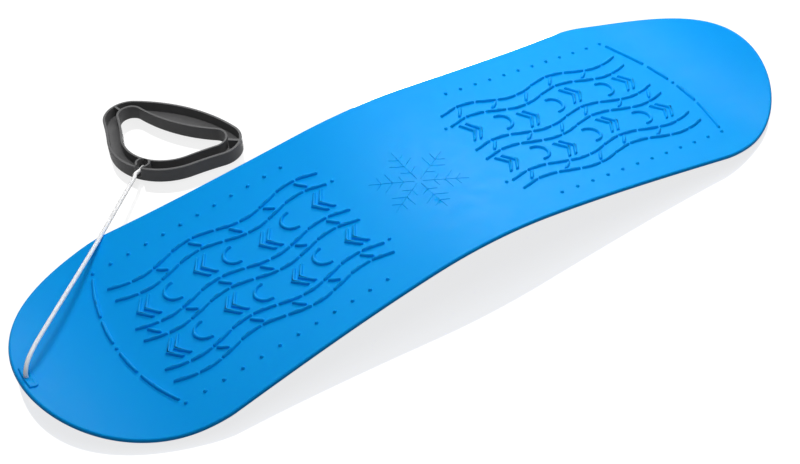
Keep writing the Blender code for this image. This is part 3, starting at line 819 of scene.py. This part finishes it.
def addMotifs(bm, chevron, crescent, end, middle):
    reach = relief["chevronReach"]
    lean = relief["chevronDepth"] / reach
    size = hypot(1, lean)
    for i in range(int(laneRoom(abs(middle) + reach) / relief["motifPitch"])):
        along = (i + 0.5) * relief["motifPitch"]
        x = relief["laneInnerEnd"] + along
        y = waveY(along, middle)
        if i % 2 == 0:
            for tip in (x, x + relief["chevronSpacing"]):
                # the blank lies along x and is turned to lie along y, leaning back from its middle
                def onChevron(co, tip=tip, y=y):
                    s = co.x / size
                    return Vector((end * (tip - abs(s) * lean - co.y * size), y + s, co.z))

                joined(bm, chevron, onChevron)
        else:
            def onCrescent(co, x=x, y=y):
                radius = relief["crescentRadius"] - co.y
                turn = co.x / relief["crescentRadius"]
                return Vector((end * (x + radius * cos(turn)), y + radius * sin(turn), co.z))

            joined(bm, crescent, onCrescent)


def addEndArc(bm, end):
    radius = relief["endArcRadius"]
    crown = endArcX(0)
    row = studRow()
    gap = relief["arcGap"]
    run = radius * asin(row / radius) - gap
    shortEnd = gap + (run - 2 * gap) * relief["shortDashShare"]
    for start, finish in ((gap, shortEnd), (shortEnd + gap, run)):
        blank = ribBlank(
            "arcDash",
            finish - start + relief["ribWidth"],
            relief["ribWidth"],
            relief["ribProfile"],
            2 * relief["bendEvery"],
        )
        for side in (-1, 1):
            def onArc(co, side=side, middle=(start + finish) / 2):
                turn = (middle + co.x) / radius
                reach = radius - co.y
                return Vector((end * (crown - radius + reach * cos(turn)), side * reach * sin(turn), co.z))

            joined(bm, blank, onArc)


def addStuds(bm, blank, end):
    row = studRow()
    last = endArcX(row)
    count = floor((last - relief["studsInnerEnd"]) / relief["studPitch"]) + 1
    centreX, centreY = relief["centreStud"]
    places = [(endArcX(0), 0)]
    for side in (-1, 1):
        places += [(last - i * relief["studPitch"], side * row) for i in range(count)]
        places.append((centreX, side * centreY))
    for x, y in places:
        joined(bm, blank, lambda co, x=x, y=y: Vector((end * x + co.x, y + co.y, co.z)))


def addCrystal(bm):
    # a plain snow crystal: six arms with straight branches in pairs
    def addRib(start, angle, length):
        blank = ribBlank("crystalRib", length, crystal["ribWidth"], crystal["profile"])
        turn = Matrix.Rotation(angle, 3, "Z")
        joined(bm, blank, lambda co: start + turn @ (co + Vector((length / 2, 0, 0))))

    for k in range(crystal["arms"]):
        angle = radians(crystal["firstAngle"] + crystal["armAngle"] * k)
        way = Vector((cos(angle), sin(angle), 0))
        addRib(way * crystal["start"], angle, crystal["arm"] - crystal["start"])
        for place, length in crystal["branches"]:
            for side in (-1, 1):
                addRib(way * place, angle + side * crystal["branchAngle"], length)


def noseTab():
    tipX = deck["length"] / 2 - tipRadius()
    inner = deck["length"] / 2 - tab["length"]
    radius = tipRadius() - deck["edgeRound"] - tab["edge"]
    half = tab["width"] / 2
    corner = tab["corner"]
    spreadAngle = asin(half / radius)
    bm = bmesh.new()
    vert = startAt(bm, tipX + radius, 0)
    vert = arcTo(bm, vert, (tipX, 0), spreadAngle, tab["endSteps"])
    vert = lineTo(bm, vert, inner + corner, half)
    vert = arcTo(bm, vert, (inner + corner, half - corner), pi / 2, tab["cornerSteps"])
    lineTo(bm, vert, inner, 0)
    mirrored(bm, "Y")
    bmesh.ops.remove_doubles(bm, verts=bm.verts, dist=1e-6)
    bmesh.ops.scale(bm, verts=bm.verts, vec=(-1, 1, 1))
    return built(bm, filled(bm), tab["profile"])


def cordHole():
    # upright in the bent deck, so it leans in the flat one; both its rims are rounded
    x = tab["length"] / 2 - deck["length"] / 2
    radius = cord["diameter"] / 2 + tab["holeClearance"]
    top, low, rim = tab["profile"][-1][1], -deck["wall"], tab["holeRound"]
    bm = bmesh.new()
    made = bmesh.ops.create_cone(
        bm, cap_ends=True, segments=tab["holeSides"], radius1=radius, radius2=radius, depth=2
    )
    half = rim * tab["holeRoundShare"]
    heights = [low - rim, low, low + rim / 2, low + rim, top - rim, top - rim / 2, top, top + rim]
    wider = [rim * 2, rim, half, 0, 0, half, rim, rim * 2]
    sliced(bm, 2, [2 * (i + 1) / (len(heights) + 1) - 1 for i in range(len(heights) - 2)])
    levels = sorted({round(vert.co.z, 4) for vert in made["verts"] + bm.verts[:]})
    normal = deckNormal(x, 0)
    for vert in bm.verts:
        k = levels.index(round(vert.co.z, 4))
        scale = (radius + wider[k]) / radius
        lean = -normal.x * heights[k]
        vert.co = (x + vert.co.x * scale + lean, vert.co.y * scale, heights[k])
    return bm


def makeDeck(material):
    bits = bmesh.new()
    rib, bendEvery = relief["ribWidth"], relief["bendEvery"]
    chevronLength = 2 * hypot(relief["chevronReach"], relief["chevronDepth"]) + rib
    dash = ribBlank("dash", relief["dashLength"] + rib, rib, relief["ribProfile"], bendEvery)
    chevron = ribBlank("chevron", chevronLength, rib, relief["ribProfile"], chevronLength)
    crescentLength = pi * relief["crescentRadius"] + rib
    crescent = ribBlank("crescent", crescentLength, rib, relief["ribProfile"], relief["crescentBendEvery"])
    rung = ribBlank("rung", rungLength() + rib, rib, relief["ribProfile"])
    stud = ribBlank("stud", 0, relief["studWidth"], relief["studProfile"])
    row = studRow()
    lanes = int((row - relief["laneMargin"]) / relief["lanePitch"])
    for end in (-1, 1):
        addStuds(bits, stud, end)
        addEndArc(bits, end)
        for j in range(-lanes, lanes + 1):
            if j % 2 == 0:
                addWaves(bits, dash, end, j * relief["lanePitch"])
                addRungs(bits, rung, end, j * relief["lanePitch"])
            else:
                addMotifs(bits, chevron, crescent, end, j * relief["lanePitch"])
    middle = bmesh.new()
    addCrystal(middle)
    print("relief faces", len(bits.faces) + len(middle.faces))
    bm = flatDeck()
    print("flat deck faces", len(bm.faces))
    bm = combined(bm, [bits, noseTab()], "UNION")
    bm = combined(bm, [middle], "UNION", crossing=True)
    bm = combined(bm, [cordHole()], "DIFFERENCE")
    for vert in bm.verts:
        x, y, above = vert.co
        vert.co = Vector((x, y, deckHeight(x, y))) + deckNormal(x, y) * above
    lowest = min(vert.co.z for vert in bm.verts)
    bmesh.ops.translate(bm, verts=bm.verts, vec=deckMiddle - Vector((0, 0, lowest)))
    piece = newPiece("snowboardDeck", bm, material, deck["sharpAngle"])
    evenShading(piece)
    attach(piece, "deck")
    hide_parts("deck")
    return piece


# Hand grip: u runs from the cord's corner to the grip bar, v across it
grip = {
    "turn": radians(32.2),
    "height": 0.0160,
    "width": 0.1653,
    "reach": 0.1019,
    "barRadius": 0.188,
    "cornerRadius": 0.0283,
    "cordSideReach": 0.0075,
    "cordSideRadius": 0.0666,
    "flankRadius": 0.323,
    "flankWidth": 0.0169,
    "barWidth": 0.0296,
    "bulgeRadius": 0.178,
    "holeCornerRadius": 0.0122,
    "holeCornerInset": 0.0146,
    "nearCornerRadius": 0.0142,
    "barSteps": 16,
    "cornerSteps": 36,
    "flankSteps": 14,
    "cordSideSteps": 26,
    "wall": 0.0023,
    "draft": 0.0004,
    "floor": 0.0045,
    "rimRound": 0.0008,
    "rimSteps": 4,
    "rimAngle": radians(60),
    "innerRound": 0.00035,
    "innerSteps": 3,
    "innerAngle": radians(50),
    "baseBand": 0.002,  # edges as low as this stay as they are
    "sharpAngle": radians(45),
    "crossRibs": [(radians(68), 0.0025), (radians(-73), 0.0031)],  # direction and thickness
    "pocketRadius": 0.0059,
    "boss": 0.0022,
    "pocket": Vector((0.0028, -0.0021, 0)),
    "knotClearance": 0.0004,
    "knotSeatAngle": radians(148),
    "slotClearance": 0.0014,
    "slotStep": 0.0005,
    "postSides": 56,
    "past": 0.010,  # how far a cutting tool reaches past what it cuts
}


def cornerOf(radius, bar):
    v = grip["width"] / 2 - radius
    u = grip["reach"] - bar + sqrt((bar - radius) ** 2 - v**2)
    return u, v


def touching(first, firstReach, second, secondReach):
    # the point at these distances from two others, on the right of the way between them
    along, across = second[0] - first[0], second[1] - first[1]
    apart = hypot(along, across)
    share = (firstReach**2 - secondReach**2 + apart**2) / (2 * apart**2)
    off = sqrt(firstReach**2 / apart**2 - share**2)
    return (first[0] + along * share + across * off, first[1] + across * share - along * off)


def cordSideCentre():
    return (grip["cordSideRadius"] - grip["cordSideReach"], 0)


def sideArcs(corner, start, flank):
    # a corner, the drawn-in flank and half of the cord's side, each arc touching the next
    end = cordSideCentre()
    leave = atan2(flank[1] - corner[1], flank[0] - corner[0])
    land = atan2(flank[1], flank[0] - end[0])
    return [
        (corner, leave - start, grip["cornerSteps"]),
        (flank, land - leave, grip["flankSteps"]),
        (end, pi - land, grip["cordSideSteps"]),
    ]


def outlineFace(bm, start, farArcs, nearArcs):
    # both halves start on the bar; the near one is turned over
    for side, arcs in ((1, farArcs), (-1, nearArcs)):
        half = bmesh.new()
        vert = startAt(half, start, 0)
        for centre, turn, steps in arcs:
            vert = arcTo(half, vert, centre, turn, steps)
        bmesh.ops.scale(half, verts=half.verts, vec=(1, side, 1))
        bm.from_mesh(asMesh(half, "half"))
    bmesh.ops.remove_doubles(bm, verts=bm.verts, dist=1e-6)
    return filled(bm)


def outsideFace(bm, inset):
    bar = (grip["reach"] - grip["barRadius"], 0)
    radius = grip["cornerRadius"]
    corner = cornerOf(radius, grip["barRadius"])
    flankReach = grip["flankRadius"] + radius
    flank = touching(corner, flankReach, cordSideCentre(), grip["flankRadius"] + grip["cordSideRadius"])
    leave = atan2(corner[1], corner[0] - bar[0])
    arcs = [(bar, leave, grip["barSteps"])] + sideArcs(corner, leave, flank)
    return outlineFace(bm, grip["reach"] - inset, arcs, arcs)


def handHoleFace(bm, inset):
    # its near corner is blunter than its far one, as in the photograph
    apex = grip["reach"] - grip["barWidth"]
    bulge = (apex + grip["bulgeRadius"], 0)
    flankRadius = grip["flankRadius"] + grip["flankWidth"]
    endRadius = grip["cordSideRadius"] - grip["flankWidth"]
    radius = grip["holeCornerRadius"]
    v = grip["width"] / 2 - grip["holeCornerInset"] - radius
    farCorner = (bulge[0] - sqrt((grip["bulgeRadius"] + radius) ** 2 - v**2), v)
    flank = touching(farCorner, flankRadius + radius, cordSideCentre(), flankRadius + endRadius)
    blunt = grip["nearCornerRadius"]
    nearCorner = touching(flank, flankRadius + blunt, bulge, grip["bulgeRadius"] + blunt)
    halves = []
    for corner in (farCorner, nearCorner):
        meet = atan2(corner[1], bulge[0] - corner[0])
        halves.append([(bulge, -meet, grip["barSteps"])] + sideArcs(corner, -meet, flank))
    return outlineFace(bm, apex - inset, *halves)


def roundPost(radius, low, high):
    bm = bmesh.new()
    bmesh.ops.create_cone(
        bm, cap_ends=True, segments=grip["postSides"], radius1=radius, radius2=radius, depth=high - low
    )
    bmesh.ops.translate(bm, verts=bm.verts, vec=grip["pocket"] + Vector((0, 0, (low + high) / 2)))
    return bm


def block(size, place, angle=0.0):
    bm = bmesh.new()
    bmesh.ops.create_cube(bm, size=1)
    bmesh.ops.scale(bm, verts=bm.verts, vec=size)
    bmesh.ops.translate(bm, verts=bm.verts, vec=place)
    bmesh.ops.rotate(bm, verts=bm.verts, matrix=Matrix.Rotation(angle, 3, "Z"))
    return bm


def makeGrip(material):
    height, past = grip["height"], grip["past"]
    body = bmesh.new()
    built(body, outsideFace(body, 0), [(0, 0), (0, height)])
    hole = bmesh.new()
    built(hole, handHoleFace(hole, 0), [(0, -past), (0, height + past)])
    body = combined(body, [hole], "DIFFERENCE")
    rims = [
        edge for edge in body.edges
        if len(edge.link_faces) == 2 and edge.calc_face_angle(0) > grip["rimAngle"]
        and abs(edge.verts[0].co.z - edge.verts[1].co.z) < 1e-6
    ]
    bevelled(body, rims, grip["rimRound"], grip["rimSteps"], True)

    wall, draft = grip["wall"], grip["draft"]
    slope = draft * (height + past - grip["floor"]) / (height - grip["floor"])
    channel = bmesh.new()
    built(channel, outsideFace(channel, wall + draft), [(0, grip["floor"]), (0, height + past)])
    island = bmesh.new()
    built(island, handHoleFace(island, -wall - draft), [(0, -past), (0, 0), (slope, height + 2 * past)])
    cornerU, cornerV = cornerOf(grip["cornerRadius"], grip["barRadius"])
    kept = [island, roundPost(grip["pocketRadius"] + grip["boss"], 0, height + 2 * past)]
    for angle, thickness in grip["crossRibs"]:
        radius = grip["cornerRadius"]
        bar = block((radius, thickness, 4 * height), (radius, 0, 0), angle)
        side = cornerV if angle > 0 else -cornerV
        bmesh.ops.translate(bar, verts=bar.verts, vec=(cornerU, side, 0))
        kept.append(bar)
    channel = combined(channel, kept, "DIFFERENCE")
    body = combined(body, [channel], "DIFFERENCE")

    pocketFloor = knotAt.z - knots["gripRadius"] - cord["seatGap"]
    slotWidth = cord["diameter"] + 2 * grip["slotClearance"]
    outer = grip["pocket"].x + grip["cordSideReach"] + past
    slotFloor = pocketFloor + grip["slotStep"]
    slotPlace = (grip["pocket"].x - outer / 2, grip["pocket"].y, slotFloor + height / 2)
    cuts = [roundPost(grip["pocketRadius"], pocketFloor, height + past)]
    cuts.append(block((outer, slotWidth, height), slotPlace))
    body = combined(body, cuts, "DIFFERENCE")
    body.normal_update()
    sharp = [
        edge for edge in body.edges
        if len(edge.link_faces) == 2 and edge.calc_face_angle(0) > grip["innerAngle"]
        and max(vert.co.z for vert in edge.verts) > grip["baseBand"]
    ]
    bevelled(body, sharp, grip["innerRound"], grip["innerSteps"], True)

    off = grip["pocketRadius"] - knots["gripRadius"] - grip["knotClearance"]
    seat = grip["pocket"] + off * Vector((cos(grip["knotSeatAngle"]), sin(grip["knotSeatAngle"]), 0))
    turn = Matrix.Rotation(grip["turn"], 4, "Z")
    place = Matrix.Translation(Vector((*knotAt.xy, 0))) @ turn @ Matrix.Translation(-seat)
    body.transform(place)
    piece = newPiece("handGrip", body, material, grip["sharpAngle"])
    evenShading(piece)
    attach(piece, "handle")
    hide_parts("handle")
    return piece


# Floor, light and background
studio = {
    "floorSize": 12.0,
    "floorColour": (0.38, 0.38, 0.38),  # as the light that bounces off it meets it
    "floorShown": (0.09, 0.09, 0.09),  # as the camera sees it, with the next two on top
    "floorLift": 0.78,
    "floorGloss": (0.26, 0.26, 0.26),
    "glossRoughness": 0.03,
    "floorDrop": 0.0001,
    "ambient": 0.13,
    # place and aim from the middle of the board, size, share of the light on flat ground
    # at the aim, and whether gloss shows the lamp
    "lamps": {
        "top": (Vector((0.0, -0.10, 1.60)), Vector((0, 0, 0)), 0.9, 0.30, False),
        "back": (Vector((1.10, 1.50, 1.30)), Vector((0, 0, 0)), 0.6, 0.20, True),
        "near": (Vector((0.32, 0.16, 0.55)), Vector((0.24, 0.03, 0)), 0.35, 0.53, False),
        "side": (Vector((-0.15, 0.27, 0.90)), Vector((-0.13, 0.26, 0)), 0.3, 0.24, False),
    },
}


def shownShare(nodes, links):
    # 1 where the camera, a reflection or glass looks, and 0 where light is gathered
    path = nodes.new("ShaderNodeLightPath")
    total = path.outputs["Is Camera Ray"]
    for kind in ("Is Glossy Ray", "Is Transmission Ray"):
        step = nodes.new("ShaderNodeMath")
        step.operation = "MAXIMUM"
        links.new(total, step.inputs[0])
        links.new(path.outputs[kind], step.inputs[1])
        total = step.outputs["Value"]
    return total


def makeFloor():
    # pale paper under a clear gloss; light that bounces meets plain paper
    bm = bmesh.new()
    bmesh.ops.create_grid(bm, x_segments=1, y_segments=1, size=studio["floorSize"] / 2)
    bmesh.ops.translate(bm, verts=bm.verts, vec=(0, 0, -studio["floorDrop"]))
    material, nodes, links = newMaterial("floorPaper")
    nodes.remove(nodes["Principled BSDF"])
    paper = nodes.new("ShaderNodeBsdfDiffuse")
    paper.inputs["Color"].default_value = (*studio["floorColour"], 1)
    shownPaper = nodes.new("ShaderNodeBsdfDiffuse")
    shownPaper.inputs["Color"].default_value = (*studio["floorShown"], 1)
    glow = nodes.new("ShaderNodeEmission")
    glow.inputs["Strength"].default_value = studio["floorLift"]
    gloss = nodes.new("ShaderNodeBsdfGlossy")
    gloss.inputs["Color"].default_value = (*studio["floorGloss"], 1)
    gloss.inputs["Roughness"].default_value = studio["glossRoughness"]
    shown = shownPaper
    for layer in (glow, gloss):
        both = nodes.new("ShaderNodeAddShader")
        links.new(shown.outputs[0], both.inputs[0])
        links.new(layer.outputs[0], both.inputs[1])
        shown = both
    choice = nodes.new("ShaderNodeMixShader")
    links.new(shownShare(nodes, links), choice.inputs["Fac"])
    links.new(paper.outputs[0], choice.inputs[1])
    links.new(shown.outputs[0], choice.inputs[2])
    links.new(choice.outputs[0], nodes["Material Output"].inputs["Surface"])
    mesh = asMesh(bm, "floor")
    mesh.materials.append(material)
    asObject(mesh)


def makeWorld():
    world = bpy.data.worlds.new("studio")
    world.use_nodes = True
    bpy.context.scene.world = world
    nodes, links = world.node_tree.nodes, world.node_tree.links
    background = nodes["Background"]
    background.inputs["Color"].default_value = (1, 1, 1, 1)
    level = nodes.new("ShaderNodeMapRange")
    level.inputs["To Min"].default_value = studio["ambient"]
    level.inputs["To Max"].default_value = 1.0
    links.new(shownShare(nodes, links), level.inputs["Value"])
    links.new(level.outputs["Result"], background.inputs["Strength"])


def makeLamp(name, place, aim, size, share, shown):
    # the power that gives this share of the light of a white sky on flat ground at the aim
    way = place - aim
    data = bpy.data.lights.new(name, "AREA")
    data.shape = "DISK"
    data.size = size
    data.energy = share * pi * pi * (way.length_squared + (size / 2) ** 2) / way.normalized().z
    lamp = bpy.data.objects.new(name, data)
    bpy.context.scene.collection.objects.link(lamp)
    turn = way.to_track_quat("Z", "Y").to_matrix().to_4x4()
    lamp.matrix_world = Matrix.Translation(deckMiddle + place) @ turn
    lamp.visible_glossy = shown


makeCamera()
makeFloor()
makeWorld()
for lampName, values in studio["lamps"].items():
    makeLamp(lampName, *values)
bpy.context.scene.view_settings.view_transform = "Standard"
print("camera, floor and light are set")

fibre = cordFibre()
pullCord, cordPoints, cordLength = makeCord(fibre)
deckKnotMiddle = Vector((*holeAt.xy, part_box("deck_knot")[0].z + knots["deckRadius"]))
deckKnot = tightKnot("deckKnot", deckKnotMiddle, knots["deckRadius"], Vector((0, 0, 1)), fibre)
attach(deckKnot, "knot")
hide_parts("deck_knot")
gripKnot = tightKnot("gripKnot", knotAt, knots["gripRadius"], slotWay(), fibre)
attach(gripKnot, "cord")
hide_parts("handle_knot")
print("cord and knots are made, cord length", round(cordLength, 4))

makeDeck(deckPlastic())
print("deck is made")
makeGrip(handlePlastic())
print("hand grip is made")
